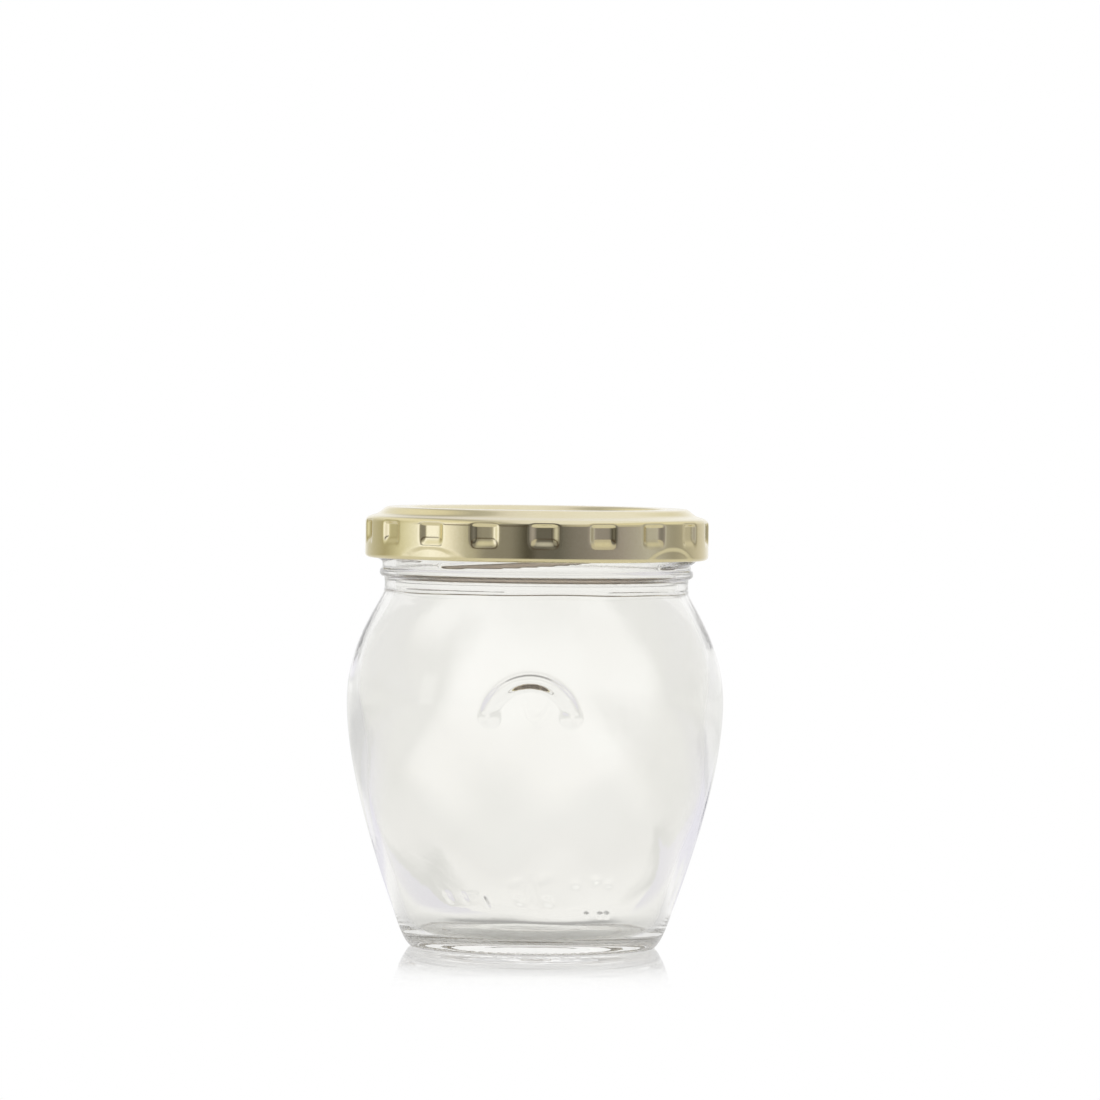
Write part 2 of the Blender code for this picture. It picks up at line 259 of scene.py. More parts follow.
def place_rings(radius, height, azimuth):
    """Rows of rings: x = r sin a, y = -r cos a, z = height."""
    a = np.radians(azimuth)
    height = np.broadcast_to(height, radius.shape)
    return np.stack([radius * np.sin(a), -radius * np.cos(a), height], axis=-1)


def ring_mesh(name, points, poles=(None, None), loop=False):
    """A mesh from an array of rings; poles close its first and last ring, loop joins them."""
    rows, columns = points.shape[:2]
    vertices = points.reshape(-1, 3)
    index = np.arange(rows * columns).reshape(rows, columns)
    if loop:
        index = np.vstack([index, index[:1]])
    right = np.roll(index, -1, axis=1)
    quads = np.stack([index[:-1], index[1:], right[1:], right[:-1]], axis=-1).reshape(-1, 4)
    faces = quads.tolist()
    for end, pole in enumerate(poles):
        if pole is None:
            continue
        tip = np.full(columns, len(vertices))
        vertices = np.vstack([vertices, [pole]])
        ring = index[-1] if end else index[0]
        beside = right[-1] if end else right[0]
        fan = (ring, tip, beside) if end else (tip, ring, beside)
        faces += np.stack(fan, axis=-1).tolist()
    mesh = bpy.data.meshes.new(name)
    mesh.from_pydata(vertices.tolist(), [], faces)
    mesh.shade_smooth()
    obj = bpy.data.objects.new(name, mesh)
    bpy.context.scene.collection.objects.link(obj)
    return obj


# ---------------------------------------------------------------- shaders

class Tree:
    """A node tree with one method that adds any node."""

    def __init__(self, node_tree):
        self.tree = node_tree
        node_tree.nodes.clear()

    def add(self, kind, settings=None, output=0, **inputs):
        """Add a node, make its settings, then fill its sockets with values or links."""
        node = self.tree.nodes.new("ShaderNode" + kind)
        for key, value in (settings or {}).items():
            if key == "stops":
                self.set_stops(node.color_ramp, value)
            else:
                setattr(node, key, value)
        for key, value in inputs.items():
            numbered = key.startswith("in") and key[2:].isdigit()
            place = int(key[2:]) if numbered else key.replace("_", " ")
            self.fill(node.inputs[place], value)
        return Value(self, node, output)

    def fill(self, socket, value):
        """Link a Value to a socket, or set the socket's own number or colour."""
        if isinstance(value, Value):
            self.tree.links.new(value.socket, socket)
        elif isinstance(value, (tuple, list)) and len(value) == 3 and socket.type == "RGBA":
            socket.default_value = (*value, 1.0)
        else:
            socket.default_value = value

    def ease(self, value, low, high, start=0.0, end=1.0):
        """A smooth step from start, at low, to end, at high."""
        return self.add("MapRange", {"interpolation_type": "SMOOTHSTEP"}, Value=value, From_Min=low, From_Max=high,
                        To_Min=start, To_Max=end)

    def ramp(self, value, stops):
        """A colour ramp with its stops."""
        return self.add("ValToRGB", {"stops": stops}, Fac=value)

    def mix(self, share, first, second, blend="MIX"):
        """The first colour with a share of the second laid over it."""
        return self.add("MixRGB", {"blend_type": blend}, Fac=share, Color1=first, Color2=second)

    def noise(self, place, scale, detail, **inputs):
        """Smooth noise, from 0 to 1."""
        return self.add("TexNoise", output="Fac", Vector=place, Scale=scale, Detail=detail, **inputs)

    @staticmethod
    def set_stops(ramp, stops):
        """Place a ramp's stops; a stop is (position, grey) or (position, (r, g, b))."""
        while len(ramp.elements) < len(stops):
            ramp.elements.new(1.0)
        for element, (position, colour) in zip(ramp.elements, stops):
            element.position = position
            colour = colour if isinstance(colour, tuple) else (colour,) * 3
            element.color = (*colour, 1.0)


class Value:
    """A socket that can be used in Python arithmetic; each operation adds a Math node."""

    def __init__(self, owner, node, output=0):
        self.owner = owner
        self.node = node
        self.socket = node.outputs[output]

    def math(self, operation, *others):
        """A Math node with this socket first."""
        inputs = {f"in{i + 1}": other for i, other in enumerate(others)}
        return self.owner.add("Math", {"operation": operation}, in0=self, **inputs)

    def __add__(self, other):
        return self.math("ADD", other)

    def __sub__(self, other):
        return self.math("SUBTRACT", other)

    def __mul__(self, other):
        return self.math("MULTIPLY", other)

    def __truediv__(self, other):
        return self.math("DIVIDE", other)

    def __rsub__(self, other):
        return self.owner.add("Math", {"operation": "SUBTRACT"}, in0=other, in1=self)

    __radd__ = __add__
    __rmul__ = __mul__

    def absolute(self):
        """The value without its sign."""
        return self.math("ABSOLUTE")

    def output(self, name):
        """Another output of the same node."""
        return Value(self.owner, self.node, name)


def new_material(name):
    """An empty material and its tree."""
    mat = bpy.data.materials.new(name)
    mat.use_nodes = True
    return mat, Tree(mat.node_tree)


def finish_surface(tree, shader, kind="Material"):
    """Add the output node of a material or a world and give it the shader."""
    node = tree.tree.nodes.new("ShaderNodeOutput" + kind)
    tree.tree.links.new(shader.socket, node.inputs["Surface"])


def coordinates(tree, place):
    """The three coordinates of a point or a direction."""
    parts = tree.add("SeparateXYZ", Vector=place)
    return [parts.output(axis) for axis in "XYZ"]


def glass_material():
    """Clear glass: faint flow lines and ripples on the skin, stipple under the bearing ring, a grey tint."""
    mat, tree = new_material("clear_glass_skin")
    place = tree.add("TexCoord", output="Object")
    flow = tree.add("Mapping", Vector=place, Scale=(55.0, 55.0, 16.0))
    ripple = tree.noise(flow, 1.0, 2.0, Roughness=0.45)
    fine = tree.noise(place, 420.0, 2.0, Roughness=0.5)
    flow_bump = tree.add("Bump", Strength=0.10, Distance=0.6 * MM, Height=ripple * 0.9 + fine * 0.1)
    x, y, z = coordinates(tree, place)
    from_axis = (x * x + y * y).math("SQRT")
    on_ring = tree.ease(from_axis, 17.7 * MM, 18.4 * MM)
    low = tree.ease(z, 0.1 * MM, 0.4 * MM, 1.0, 0.0)
    stipple = tree.noise(place, STIPPLE_SCALE, 1.0, Roughness=0.4)
    bump = tree.add("Bump", Strength=0.7, Distance=0.6 * MM, Height=stipple * on_ring * low, Normal=flow_bump)
    haze = tree.noise(place, 36.0, 3.0, Roughness=0.6)
    tint = tree.ramp(haze, [(0.32, GLASS_DEEP), (0.68, GLASS_THIN)])
    shader = tree.add("BsdfPrincipled", Base_Color=tint, Roughness=0.0, IOR=1.5, Transmission_Weight=1.0,
                      Normal=bump)
    finish_surface(tree, shader)
    return mat


def lacquer_material(name, light, dark, base_roughness, coat):
    """Lacquered tinplate: rolled grain, small speckle, and a clear coat over metal."""
    mat, tree = new_material(name)
    place = tree.add("TexCoord", output="Object")
    rolled = tree.add("Mapping", Vector=place, Scale=(90.0, 2600.0, 2600.0))
    grain = tree.noise(rolled, 1.0, 3.0, Roughness=0.6)
    cloud = tree.noise(place, 70.0, 3.0, Roughness=0.55)
    speck = tree.noise(place, 2400.0, 1.0)
    tone = grain * 0.25 + cloud * 0.45 + speck * 0.3
    colour = tree.ramp(tone, [(0.36, dark), (0.64, light)])
    bump = tree.add("Bump", Strength=0.02, Distance=0.1 * MM, Height=grain * 0.4 + speck * 0.6)
    shader = tree.add("BsdfPrincipled", Base_Color=colour, Metallic=1.0,
                      Roughness=base_roughness - 0.03 + cloud * 0.06, Coat_Weight=coat,
                      Coat_Roughness=0.05, Coat_IOR=1.5, Normal=bump)
    finish_surface(tree, shader)
    return mat


def gasket_material():
    """Cast sealing compound: cream, satin, very slightly uneven."""
    mat, tree = new_material("sealing_compound")
    place = tree.add("TexCoord", output="Object")
    cloud = tree.noise(place, 150.0, 4.0, Roughness=0.6)
    colour = tree.ramp(cloud, [(0.3, COMPOUND_DARK), (0.7, COMPOUND_LIGHT)])
    bump = tree.add("Bump", Strength=0.15, Distance=0.2 * MM, Height=cloud)
    shader = tree.add("BsdfPrincipled", Base_Color=colour, Roughness=cloud * 0.2 + 0.4, Normal=bump)
    finish_surface(tree, shader)
    return mat


# ---------------------------------------------------------------- glass jar

def jar_columns():
    """Azimuths of the columns, closer together across the handle and the marks on the front."""
    fine = np.linspace(0, 360, 3601)
    at_handle = np.exp(-((nearest(fine, HANDLE_AZIMUTH, 1) / 18) ** 6))
    at_front = np.exp(-((nearest(fine, 0, 1) / 37) ** 8))
    crowd = 1 + 2.6 * at_handle + at_front
    run = np.concatenate([[0], np.cumsum((crowd[1:] + crowd[:-1]) / 2)])
    places = np.arange(JAR_COLUMNS) / JAR_COLUMNS * run[-1]
    return np.interp(places, run, fine)


def outside_path():
    """The outside, from the top of the rim down to the edge of the underside's centre."""
    rim = arc((FINISH_R - RIM_ROUND, RIM_Z - RIM_ROUND), RIM_ROUND, 90, 0, 9)
    bead_top = BEAD_Z + BEAD_HALF
    wall = np.array([[FINISH_R, RIM_Z - RIM_ROUND], [FINISH_R, bead_top + 0.35 * MM]])
    bead = arc((FINISH_R, BEAD_Z), BEAD_DEPTH, 90, -90, 15, BEAD_HALF / BEAD_DEPTH)
    neck = [[SHOULDER_R + 0.12 * MM, BEAD_Z - BEAD_HALF - 0.25 * MM], [SHOULDER_R, SHOULDER_Z + 1.5 * MM]]
    body = np.concatenate([neck, upper_body(BELLY_R, SHOULDER_R, 60), lower_body(BELLY_R, HEEL_R, 90)[1:]])

    def spacing(z):
        """Rings 1.3 mm apart, and closer at the handle, the heel, the neck and the parting line."""
        near_handle = smooth(41 * MM, 43.5 * MM, z) * (1 - smooth(55.5 * MM, 58 * MM, z))
        near_heel = 1 - smooth(12 * MM, 15 * MM, z)
        near_neck = smooth(66.5 * MM, 68 * MM, z)
        near_line = np.exp(-(((z - SHOULDER_Z) / (0.5 * MM)) ** 4))
        return (1.3 * MM - 1.02 * MM * near_handle - 0.9 * MM * near_heel - 0.98 * MM * near_neck
                - 0.22 * MM * near_line)

    heel = bezier((HEEL_R, HEEL_Z), (HEEL_R - HEEL_PULL_HIGH[0] * HEEL_Z, HEEL_PULL_HIGH[1] * HEEL_Z),
                  (HEEL_R - HEEL_PULL_LOW[0] * HEEL_Z, HEEL_PULL_LOW[1] * HEEL_Z), (BEARING_R, 0.0), 40)
    under = rounded([(BEARING_R, 0.0), (BEARING_INNER_R, 0.0), (PUSH_UP_R, 0.4 * PUSH_UP_Z),
                     (0.6 * PUSH_UP_R, 0.85 * PUSH_UP_Z), (1.5 * MM, PUSH_UP_Z)], 0.7 * MM)
    pieces = [rim, respaced(wall, 0.21 * MM), bead, respaced(body, spacing),
              respaced(heel, 0.3 * MM), respaced(under, 0.42 * MM)]
    return joined(pieces)


def joined(pieces):
    """Lines end to end, without the doubled points where they meet."""
    path = np.concatenate(pieces)
    step = np.hypot(*np.diff(path, axis=0).T)
    return path[np.concatenate([[True], step > 0.02 * MM])]


def inside_path():
    """The inside, from near the centre of the floor up to the top of the rim."""
    wall = lower_body(BELLY_R - WALL, HEEL_R - WALL, 90)
    wall = wall[wall[:, 1] > FLOOR_Z + CORNER]
    foot = wall[-1]
    floor_r = foot[0] - CORNER
    corner = bezier(foot, (foot[0] - 0.2 * CORNER, foot[1] - 0.45 * CORNER),
                    (floor_r + 0.5 * CORNER, FLOOR_Z), (floor_r, FLOOR_Z), 24)
    dome = np.linspace(1, 0.06, 20)[:, None]
    floor = np.hstack([floor_r * dome, FLOOR_Z + FLOOR_RISE * (1 - dome ** 2) ** 2])
    body = np.concatenate([upper_body(BELLY_R - WALL, BORE_R, 50), wall[1:]])
    rim = arc((BORE_R + RIM_ROUND, RIM_Z - RIM_ROUND), RIM_ROUND, 90, 180, 8)
    bore = np.array([[BORE_R, RIM_Z - RIM_ROUND], [BORE_R, SHOULDER_Z]])
    pieces = [rim, respaced(bore, 1.6 * MM), respaced(body, 1.5 * MM), respaced(corner, 0.8 * MM),
              respaced(floor, 1.8 * MM)]
    return joined(pieces)[::-1]


def thread_relief(azimuth, z):
    """Four rounded ridges: depth (1 - (distance from the helix / half width)^2)^0.7, slow to swell."""
    relief = np.zeros(np.broadcast(azimuth, z).shape)
    for start in range(STARTS):
        turn = (azimuth - THREAD_AZIMUTH - start * 360 / STARTS + 20) % 360 - 20
        swell = smooth(-3, 26, turn) * (1 - smooth(THREAD_SPAN - 22, THREAD_SPAN + 3, turn))
        ends = smooth(-3, 3, turn) * (1 - smooth(THREAD_SPAN - 3, THREAD_SPAN + 3, turn))
        helix = THREAD_Z + LEAD * turn / 360
        half = THREAD_HALF * (0.45 + 0.55 * swell)
        across = np.clip(1 - ((z - helix) / half) ** 2, 0, 1)
        relief = np.maximum(relief, THREAD_DEPTH * ends * (0.55 + 0.45 * swell) * across ** 0.7)
    return relief


def handle_relief(azimuth, z):
    """An arched ear: a steep outer edge, a narrow crest and a long even inner slope, with round feet."""
    beside = nearest(azimuth, HANDLE_AZIMUTH, 1)
    x = BELLY_R * np.sin(np.radians(beside))
    foot = math.radians(HANDLE_FOOT)
    foot_x = HANDLE_R * math.cos(foot)
    foot_z = HANDLE_Z + HANDLE_R * math.sin(foot)
    out_of_arc = np.hypot(x, z - HANDLE_Z) - HANDLE_R
    outside_edge = 0.5 - 0.5 * np.tanh((out_of_arc - HANDLE_OUTER) / HANDLE_OUTER_WIDTH)
    even = soft_ramp(*HANDLE_INNER, out_of_arc)
    inside_edge = HANDLE_EVEN_SHARE * even + (1 - HANDLE_EVEN_SHARE) * smooth(*HANDLE_INNER, out_of_arc)
    band = outside_edge * inside_edge
    to_foot = np.hypot(np.abs(x) - foot_x + 0.3 * MM, z - foot_z)
    round_foot = HANDLE_FOOT_HEIGHT * (1 - smooth(0.3 * MM, 2.5 * MM, to_foot))
    above_foot = smooth(-0.9 * MM, 0.9 * MM, z - HANDLE_Z - np.abs(x) * math.tan(foot))
    whole = np.maximum(band * above_foot * (0.7 + 0.3 * smooth(0, 4 * MM, z - foot_z)), round_foot)
    on_front = np.abs(beside) < 40
    return HANDLE_DEPTH * np.where(on_front, whole, 0.0)


def seam_relief(azimuth, z):
    """Two fine upright mould seams at the sides, and the parting line under the neck."""
    beside = nearest(azimuth, 90, 2)
    upright = SEAM_HEIGHT * np.exp(-((beside / SEAM_HALF_ANGLE) ** 2)) * smooth(6 * MM, 9 * MM, z)
    upright = upright * (1 - smooth(38 * MM, 42 * MM, z) * (1 - smooth(53 * MM, 57 * MM, z)))
    a = np.radians(azimuth)
    line_z = SHOULDER_Z + PARTING_WANDER * (np.sin(4 * a + 1) + 0.5 * np.sin(9 * a))
    parting = PARTING_HEIGHT * np.exp(-(((z - line_z) / PARTING_HALF) ** 2))
    return upright + parting


def heel_relief(azimuth, z):
    """Raised marks front and back: height exp(-(across^2 + up^4)), each leaning with height."""
    relief = np.zeros(np.broadcast(azimuth, z).shape)
    for place, height, half_width, half_height in HEEL_MARKS:
        above = z - height * MM
        mark = NARROW_MARK if half_width < 0.5 else WIDE_MARK
        for side in (0, 180):
            across = nearest(azimuth, place + side, 1) * math.pi / 180 * HEEL_R + above * MARK_LEAN
            across = across / (half_width * MM)
            up = above / (half_height * MM)
            relief += mark * np.exp(-(across ** 2 + up ** 4))
    return relief


def knurl_relief(azimuth, path_r, z):
    """Knurled bearing ring: short bars, a cosine of azimuth times a cosine of the way out."""
    on_ring = smooth(17.6 * MM, 18.6 * MM, path_r) * (1 - smooth(0.1 * MM, 0.5 * MM, z))
    around = np.cos(np.radians(azimuth) * KNURL_BARS + path_r / MM * 2.2)
    bars = around * np.cos(path_r / MM * 3.6 + z / MM * 2.5)
    return -KNURL_DEPTH * on_ring * (1 + bars)


def inside_ripple(azimuth, z):
    """Slow waves of wall thickness left by blowing: three sines of azimuth and height."""
    a = np.radians(azimuth)
    height = z / MM
    wave = (0.10 * np.sin(2 * a + 0.09 * height + 0.6) + 0.07 * np.sin(5 * a - 0.16 * height + 2.0)
            + 0.05 * np.sin(9 * a + 0.23 * height + 4.0))
    return MM * wave * smooth(4, 14, height) * (1 - smooth(62, 70, height))


def build_jar():
    """The whole glass: inside from the floor up, over the rim, and down the outside."""
    azimuth = jar_columns()[None, :]
    outside = outside_path()
    inside = inside_path()
    normal = outward(outside)
    r, z = outside[:, :1], outside[:, 1:]
    on_wall = (z > BEAD_Z + BEAD_HALF) & (z < RIM_Z - RIM_ROUND)
    on_body = (z < SHOULDER_Z + 1 * MM) & (r > HEEL_R - 0.1 * MM) & (z > HEEL_Z)
    relief = np.where(on_wall, thread_relief(azimuth, z), 0.0)
    relief = relief + np.where(on_body, handle_relief(azimuth, z) + seam_relief(azimuth, z), 0.0)
    relief = relief + np.where(on_body & (z < 14 * MM), heel_relief(azimuth, z), 0.0)
    relief = relief + np.where(z < HEEL_Z, knurl_relief(azimuth, r, z), 0.0)
    outer = place_rings(r + relief * normal[:, :1], z + relief * normal[:, 1:], azimuth)
    r, z = inside[:, :1], inside[:, 1:]
    inner = place_rings(r + 0 * azimuth - inside_ripple(azimuth, z), z + 0 * azimuth, azimuth)
    points = np.concatenate([inner, outer])
    poles = ((0, 0, FLOOR_Z + FLOOR_RISE), (0, 0, PUSH_UP_Z))
    jar = ring_mesh("jar_glass", points, poles)
    jar.data.materials.append(glass_material())
    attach(jar, "jar")
    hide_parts("glass_jar")
    return jar


# ---------------------------------------------------------------- cap

def cap_columns():
    """Twenty-four columns to each dimple, closer together across its two edges."""
    half = np.array([0.0, 1.2, 2.3, 2.9, 3.2, 3.6, 4.0, 4.4, 4.8, 5.1, 5.9, 7.6])
    offsets = np.concatenate([-half[:0:-1], half, [10.0]])
    pitch = 360 / DIMPLES
    return (DIMPLE_AZIMUTH + pitch * np.arange(DIMPLES)[:, None] + offsets[None, :]).ravel()


def sheet_path():
    """The cap's outer surface from the panel's centre over the ring and down to the curl's end."""
    corners = [(1.0 * MM, -1.0 * MM), (11.5 * MM, -1.0 * MM), (12.3 * MM, -0.78 * MM), (20.6 * MM, -0.78 * MM),
               (21.4 * MM, -1.0 * MM), (24.0 * MM, -1.0 * MM), (25.2 * MM, -0.12 * MM), (25.8 * MM, 0.0),
               (29.5 * MM, 0.0), (31.2 * MM, -1.35 * MM), (33.05 * MM, -1.9 * MM),
               (CAP_R - 0.08 * MM, -2.5 * MM), (CAP_R, -3.0 * MM), (CAP_R, CURL_R - CAP_HEIGHT)]
    line = rounded(corners, 0.45 * MM)
    panel = line[line[:, 0] < 24.0 * MM]
    ring = line[(line[:, 0] >= 24.0 * MM) & (line[:, 1] > -2.75 * MM)]
    skirt = line[line[:, 1] <= -2.75 * MM]
    curl = arc((CAP_R - CURL_R, CURL_R - CAP_HEIGHT), CURL_R, 0, -235, 20)
    fold = respaced(np.concatenate([ring[-1:], skirt]), 0.28 * MM)
    return joined([respaced(panel, 0.9 * MM), respaced(ring, 0.3 * MM), fold, curl])


def dimple_press(azimuth, z):
    """How far the skirt is pressed in: a flat floor with rounded sides and a long rounded lower slope."""
    across = np.abs(nearest(azimuth, DIMPLE_AZIMUTH, DIMPLES))
    sides = 1 - smooth(*DIMPLE_SIDES, across)
    top = 1 - smooth(*DIMPLE_TOP, z)
    bottom = smooth(*DIMPLE_BOTTOM, z)
    flat = CAP_R * (1 / np.cos(np.radians(np.minimum(across, DIMPLE_FLAT_ANGLE))) - 1)
    return sides * top * bottom * (DIMPLE_DEPTH - flat)


def arch_press(azimuth, z):
    """The tool mark over each lug: an arched flat along the bottom of the skirt."""
    across = np.abs(nearest(azimuth, LUG_AZIMUTH, STARTS))
    top = -CAP_HEIGHT + ARCH_RISE * np.clip(1 - (across / ARCH_HALF_ANGLE) ** 2, 0, 1)
    return ARCH_DEPTH * (1 - smooth(-0.3 * MM, 0.7 * MM, z - top)) * (1 - smooth(10, 13, across))


def lug_press(azimuth, r, z):
    """The curl flattened inwards: its inner half moves in to the tip and closes up."""
    across = np.abs(nearest(azimuth, LUG_AZIMUTH, STARTS))
    share = 1 - smooth(4.4, 8.6, across)
    curl_z = CURL_R - CAP_HEIGHT
    reach = CAP_R - 0.9 * CURL_R - r
    stretch = np.where((reach > 0) & (z < curl_z + CURL_R), np.clip(reach / CURL_R, 0, 1), 0.0)
    lug_z = LUG_THICKNESS / 2 + LUG_LIFT - CAP_HEIGHT
    flat_z = lug_z + LUG_THICKNESS / 2 * np.clip((z - curl_z) / (0.6 * CURL_R), -1, 1)
    inward = (CAP_R - 2 * CURL_R) - LUG_TIP_R
    return r - share * inward * stretch, z + share * (flat_z - z) * stretch


def build_cap():
    """One sheet: the turned outer surface with dimples and lugs, thickened inwards."""
    azimuth = cap_columns()[None, :]
    path = sheet_path()
    r = path[:, :1] + 0 * azimuth
    z = path[:, 1:] + 0 * azimuth
    on_skirt = r > CAP_R - 0.3 * MM
    r = r - np.where(on_skirt, dimple_press(azimuth, z), 0.0)
    in_curl = path[:, :1] > CAP_R - 1.4 * CURL_R
    r = r - np.where(in_curl & (z < -6 * MM), arch_press(azimuth, z), 0.0)
    r, z = lug_press(azimuth, r, z)
    points = place_rings(r, z + CAP_TOP, azimuth)
    cap = ring_mesh("cap_tinplate", points, ((0, 0, CAP_TOP - 1.0 * MM), None))
    cap.data.materials.append(lacquer_material("gold_lacquer", GOLD_LIGHT, GOLD_DARK, 0.15, 0.2))
    cap.data.materials.append(lacquer_material("inside_lacquer", INSIDE_LIGHT, INSIDE_DARK, 0.3, 0.3))
    wall = cap.modifiers.new("sheet", "SOLIDIFY")
    wall.thickness = SHEET
    wall.offset = -1.0
    wall.material_offset = 1    # the inner skin takes the second lacquer
    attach(cap, "cap")
    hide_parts("cap_shell")
    return cap


# ---------------------------------------------------------------- gasket

def build_gasket():
    """The cast ring in the cap's channel, flat below with a soft lip at both edges."""
    top = CAP_TOP - SHEET - 0.05 * MM
    low = GASKET_LOW[2]
    corners = [(26.4 * MM, low + 0.35 * MM), (26.4 * MM, top), (29.3 * MM, top), (30.45 * MM, top - 0.98 * MM),
               (30.2 * MM, low), (26.9 * MM, low), (26.4 * MM, low + 0.35 * MM)]
    section = respaced(rounded(corners, 0.3 * MM), 0.18 * MM)[:-1][::-1]
    azimuth = np.linspace(0, 360, 180, endpoint=False)[None, :]
    points = place_rings(section[:, :1] + 0 * azimuth, section[:, 1:] + 0 * azimuth, azimuth)
    ring = ring_mesh("gasket_ring", points[::-1], loop=True)
    ring.data.materials.append(gasket_material())
    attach(ring, "liner")
    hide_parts("sealing_gasket")
    return ring


# ---------------------------------------------------------------- table, light and camera

def compass(x, y):
    """Direction seen from above, from 0 through the back at 0.5 to 1; 0 and 1 are the front."""
    return x.math("ARCTAN2", y) * (0.5 / math.pi) + 0.5


def walls_around(tree, x, y):
    """The cove's tone by compass direction, as polished metal sees it: dark in front, lit at the left."""
    stops = [(0.0, (0.078, 0.076, 0.085)), (0.009, (0.035, 0.033, 0.03)), (0.02, (0.035, 0.033, 0.03)),
             (0.046, (0.14, 0.138, 0.145)), (0.097, (0.15, 0.148, 0.155)), (0.12, (0.27, 0.27, 0.265)),
             (0.1326, (0.27, 0.27, 0.265)), (0.17, (0.54, 0.545, 0.60)), (0.21, (0.60, 0.62, 0.72)),
             (0.2795, (0.40, 0.40, 0.35)), (0.338, (0.23, 0.218, 0.155)), (0.4325, (0.345, 0.337, 0.30)),
             (0.475, 0.5), (0.525, 0.5), (0.601, (0.357, 0.345, 0.32)), (0.708, (0.185, 0.182, 0.18)),
             (0.773, (0.285, 0.29, 0.33)), (0.84, (0.188, 0.182, 0.22)), (0.929, (0.119, 0.117, 0.138)),
             (0.963, (0.067, 0.068, 0.075)), (1.0, (0.078, 0.076, 0.085))]
    return tree.ramp(compass(x, y), stops)


def painted_table_shade(tree, x, y, from_axis):
    """What the glass shows of the table, all painted light: lilac painted reflections behind at both sides, edged
    with painted grey shade, greyer far out, and a painted shadow under the jar.
    """
    left = (0.002 - x - y * 0.209).math("MINIMUM", (0.178 - y) * 0.15)
    right = (x - y * 0.14 - 0.0165).math("MINIMUM", (0.30 - y) * 0.15)
    zone = left.math("MAXIMUM", right)
    # Lilac zones behind at both sides: a painted reflection laid on the table.
    lilac = tree.ease(y, 0.04, 0.08) * tree.ease(zone, 0.0, 0.0015)
    # Grey edges beside the lilac zones: painted shade.
    grey = tree.ease(y, 0.09, 0.14) * tree.ease(zone, -0.010, -0.002)
    far_back = tree.ease(y, 0.15, 0.3)
    # Darker at the sides and further out at the sides: painted shade.
    side_shade = tree.ease(x.absolute(), 0.04, 0.1) * far_back * 0.8
    outer = tree.ease(x.absolute(), 0.13, 0.2) * tree.ease(y, 0.4, 0.65, 1.0, 0.0) * far_back
    # Darker bands by distance behind the jar: painted shade.
    tone = tree.ramp(y, [(0.0, (0.93, 0.925, 0.92)), (0.12, (0.95, 0.945, 0.94)), (0.25, (0.87, 0.865, 0.86)),
                         (0.36, (0.87, 0.87, 0.865)), (0.6, (0.96, 0.955, 0.95)), (1.0, WHITE)])
    tone = tree.mix(grey, tone, (0.73, 0.73, 0.72))
    tone = tree.mix(side_shade, tone, (0.80, 0.80, 0.79))
    tone = tree.mix(lilac, tone, (0.79, 0.778, 0.845))
    tone = tree.mix(outer, tone, (0.66, 0.66, 0.66))
    # A painted shadow under and around the jar's foot, out to 62 mm from its axis.
    under_jar_shadow = tree.ease(from_axis, 18.5 * MM, 62 * MM, 0.25, 1.0)
    return tree.mix(1.0, tone, under_jar_shadow, "MULTIPLY")


def build_table():
    """A bright light table: it glows, mirrors only what is close to it, and is shaded under the jar, with painted
    shade in its mirror under and just behind the jar.
    """
    half = 3.0
    low = -0.05 * MM
    corners = [(-half, -half, low), (half, -half, low), (half, half, low), (-half, half, low)]
    mesh = bpy.data.meshes.new("light_table")
    mesh.from_pydata(corners, [], [(0, 1, 2, 3)])
    table = bpy.data.objects.new("light_table", mesh)
    bpy.context.scene.collection.objects.link(table)
    mat, tree = new_material("light_table_top")
    place = tree.add("TexCoord", output="Object")
    from_axis = tree.add("VectorMath", {"operation": "LENGTH"}, output="Value", in0=place)
    x, y, _ = coordinates(tree, place)
    ray = tree.add("LightPath")
    seen_directly = ray.output("Is Camera Ray")
    in_metal = ray.output("Is Glossy Ray") * (1 - ray.output("Is Singular Ray"))
    # Rough reflections in the metal see the cove walls' tones painted on the table, and a fixed grey near the jar: a
    # painted reflection.
    walls = walls_around(tree, x, y)
    far_tone = tree.mix(1.0, walls, walls, "ADD")
    metal_tone = tree.mix(tree.ease(from_axis, 0.12, 0.5), (0.75, 0.74, 0.70), far_tone)
    # Through the glass the table shows its painted shade and reflections; seen directly it is plain white.
    glass_tone = tree.mix(seen_directly, painted_table_shade(tree, x, y, from_axis), WHITE)
    tone = tree.mix(in_metal, glass_tone, metal_tone)
    glow = tree.add("Emission", Color=tone, Strength=ray.output("Is Transmission Ray") * 0.06 + 1)
    # The mirror is darkened under the jar and in a strip just behind it: painted shade.
    dimmed = tree.ease(from_axis, 16.5 * MM, 24.5 * MM, 0.5, 1.0)
    behind = tree.ease(y, 15 * MM, 28 * MM) * tree.ease(y, 34 * MM, 50 * MM, 1.0, 0.0)
    painted_shade_strip = 1 - behind * tree.ease(x.absolute(), 15 * MM, 22 * MM, 0.6, 0.0)
    mirror_tone = (dimmed * painted_shade_strip).math("MAXIMUM", seen_directly)
    mirror = tree.add("BsdfGlossy", Color=mirror_tone, Roughness=0.0)
    mirror_share = tree.ease(from_axis, 22 * MM, 115 * MM, 0.62, 0.0)
    finish_surface(tree, tree.add("MixShader", Fac=mirror_share, in1=glow, in2=mirror))
    table.data.materials.append(mat)


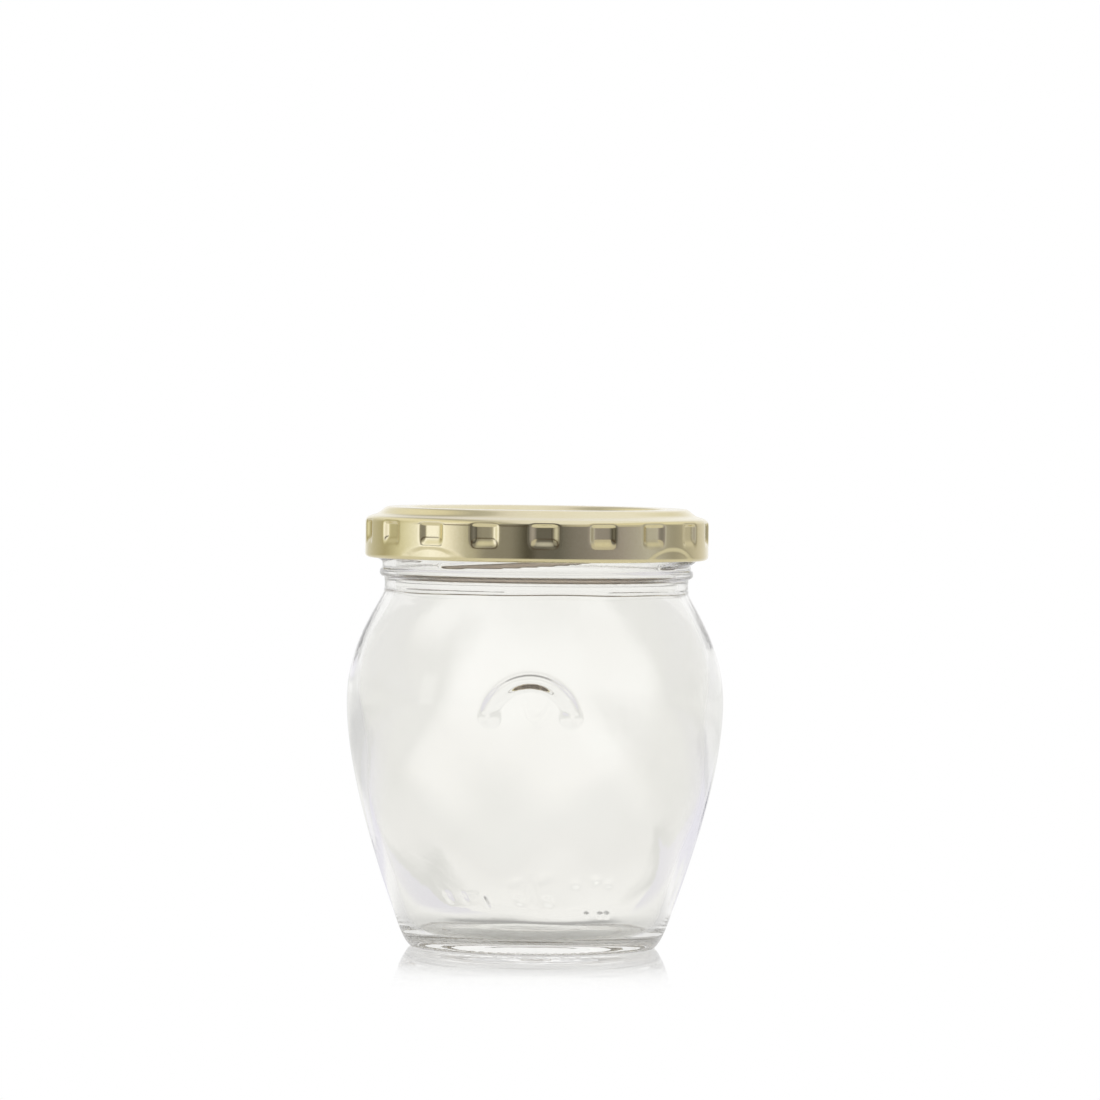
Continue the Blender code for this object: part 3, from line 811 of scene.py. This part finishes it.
def cove_in_metal(tree, x, y, z):
    """Walls by compass, a dark brow low in front, a lift at the right of it, and an uneven ceiling."""
    front = tree.ease(y, -0.3, 0.1, 1.0, 0.0)
    brow = tree.ease(z, 0.08, 0.16) * tree.ease(z, 0.24, 0.36, 1.0, 0.0) * front * tree.ease(x, 0.0, 0.3, 0.85, 0.15)
    lift = tree.ease(z, 0.15, 0.25) * tree.ease(x, 0.1, 0.5) * front
    tone = tree.mix(brow, walls_around(tree, x, y), (0.04, 0.028, 0.02))
    tone = tree.mix(lift, tone, (0.31, 0.30, 0.29))
    lean = x / (z.absolute() + 0.2) * 0.5 + 0.5
    ceiling = [(0.0, (0.47, 0.465, 0.42)), (0.22, (0.47, 0.465, 0.42)), (0.30, (0.42, 0.41, 0.37)),
               (0.365, (0.25, 0.25, 0.26)), (0.40, (0.29, 0.29, 0.30)), (0.43, (0.42, 0.42, 0.47)),
               (0.5, (0.47, 0.48, 0.54)), (0.7, (0.49, 0.50, 0.56)), (0.78, (0.40, 0.39, 0.34)),
               (0.9, (0.49, 0.48, 0.42))]
    return tree.mix(tree.ease(z + y * 0.25, 0.38, 0.82), tone, tree.ramp(lean, ceiling))


def cove_mirrored_in_glass(tree, around, z):
    """White behind and pale grey elsewhere, with one soft upright lamp at the left."""
    tone = tree.ramp(around, [(0.0, 0.42), (0.15, 0.42), (0.28, 0.40), (0.38, 0.42), (0.46, 0.5), (0.54, 0.5),
                              (0.62, 0.42), (0.72, 0.40), (0.85, 0.42), (1.0, 0.42)])
    from_lamp = (around - 0.193).absolute()
    lamp = tree.ease(from_lamp, 0.008, 0.022, 1.0, 0.0) * tree.ease(z.absolute(), 0.25, 0.35, 1.0, 0.0)
    return tree.mix(lamp * 0.6, tone, (1.2, 1.2, 1.2))


def build_surroundings():
    """A white cove: plain white seen directly, with grey walls and a lamp in metal and glass."""
    world = bpy.data.worlds.new("white_cove")
    bpy.context.scene.world = world
    world.use_nodes = True
    tree = Tree(world.node_tree)
    x, y, z = coordinates(tree, tree.add("TexCoord", output="Generated"))
    around = compass(x, y)
    behind_glass = tree.ramp(around, [(0.0, 0.46), (0.2, 0.45), (0.28, 0.43), (0.36, 0.46), (0.42, 0.5), (0.58, 0.5),
                                      (0.64, 0.46), (0.72, 0.43), (0.8, 0.45), (1.0, 0.46)])
    ray = tree.add("LightPath")
    mirrored = tree.mix(ray.output("Is Singular Ray"), cove_in_metal(tree, x, y, z),
                        cove_mirrored_in_glass(tree, around, z))
    lit_tone = tree.mix(ray.output("Is Transmission Ray"), mirrored, behind_glass)
    lit = tree.add("Background", Color=lit_tone, Strength=2.0)
    plain = tree.add("Background", Color=WHITE, Strength=1.0)
    finish_surface(tree, tree.add("MixShader", Fac=ray.output("Is Camera Ray"), in1=lit, in2=plain), "World")


def build_camera():
    """A long lens from the front, a little above the cap and turned slightly about its axis."""
    look_at = Vector((CAMERA_ASIDE, 0.0, LOOK_AT_Z))
    place = Vector((CAMERA_ASIDE, -CAMERA_DISTANCE, CAMERA_Z))
    data = bpy.data.cameras.new("camera")
    data.sensor_width = CAMERA_SENSOR
    data.lens = CAMERA_LENS
    data.clip_end = 20.0
    camera = bpy.data.objects.new("camera", data)
    bpy.context.scene.collection.objects.link(camera)
    aim = (look_at - place).to_track_quat("-Z", "Y").to_matrix().to_4x4()
    tilt = Matrix.Rotation(math.radians(CAMERA_TILT), 4, "Z")
    camera.matrix_world = Matrix.Translation(place) @ aim @ tilt
    bpy.context.scene.camera = camera


build_camera()
build_table()
build_surroundings()
build_jar()
build_cap()
build_gasket()
bpy.context.scene.view_settings.view_transform = "Standard"
for kind in ("transmission_bounces", "max_bounces", "glossy_bounces"):
    setattr(bpy.context.scene.cycles, kind, GLASS_BOUNCES)
